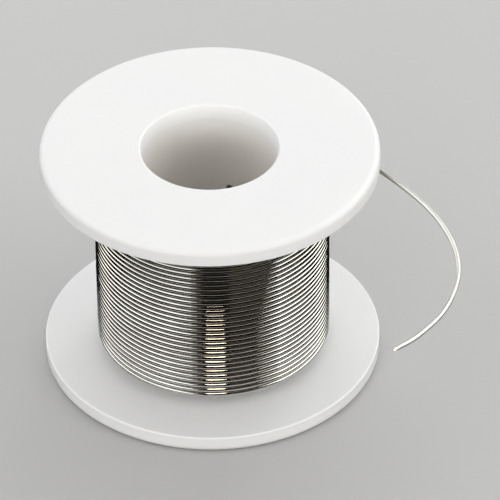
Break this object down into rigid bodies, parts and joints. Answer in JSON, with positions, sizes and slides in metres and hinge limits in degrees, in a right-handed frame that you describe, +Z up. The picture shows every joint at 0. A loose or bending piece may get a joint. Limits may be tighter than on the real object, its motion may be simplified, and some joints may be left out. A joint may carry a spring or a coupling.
{
  "type": "solder wire spool",
  "caption": "White plastic reel, flanges pressed on a hub tube, wound with flux-cored solder wire whose free end leaves the top of the winding.",
  "frame": {"origin": "middle of the bottom flange's lower face, on the spool's axis", "axes": "+Z up along the spool's axis; the free end of the wire lies in the +X half and ends towards -Y"},
  "size_m": [0.066, 0.0725, 0.0405],
  "materials": {
    "flange_plastic": "natural white, slightly translucent, fine moulded satin",
    "hub_plastic": "natural white, slightly translucent",
    "solder_wire": "bright drawn tin-lead alloy, lightly tarnished",
    "rosin_flux": "amber rosin"
  },
  "bodies": {
    "spool": {"top_flange": "flange_plastic", "bottom_flange": "flange_plastic", "hub_tube": "hub_plastic", "wire_layer_1": "solder_wire", "wire_layer_2": "solder_wire", "wire_layer_3": "solder_wire", "wire_layer_4": "solder_wire", "wire_layer_5": "solder_wire", "wire_layer_6": "solder_wire", "wire_layer_7": "solder_wire", "wire_layer_8": "solder_wire", "wire_start": "solder_wire"},
    "free_end": {"last_turn": "solder_wire", "wire_tail": "solder_wire", "flux_core": "rosin_flux"}
  },
  "joints": [
    {"name": "payout", "type": "hinge", "parent": "spool", "child": "free_end", "pos_m": [0, 0, 0.0357], "axis": [0, 0, 1], "continuous": true}
  ]
}
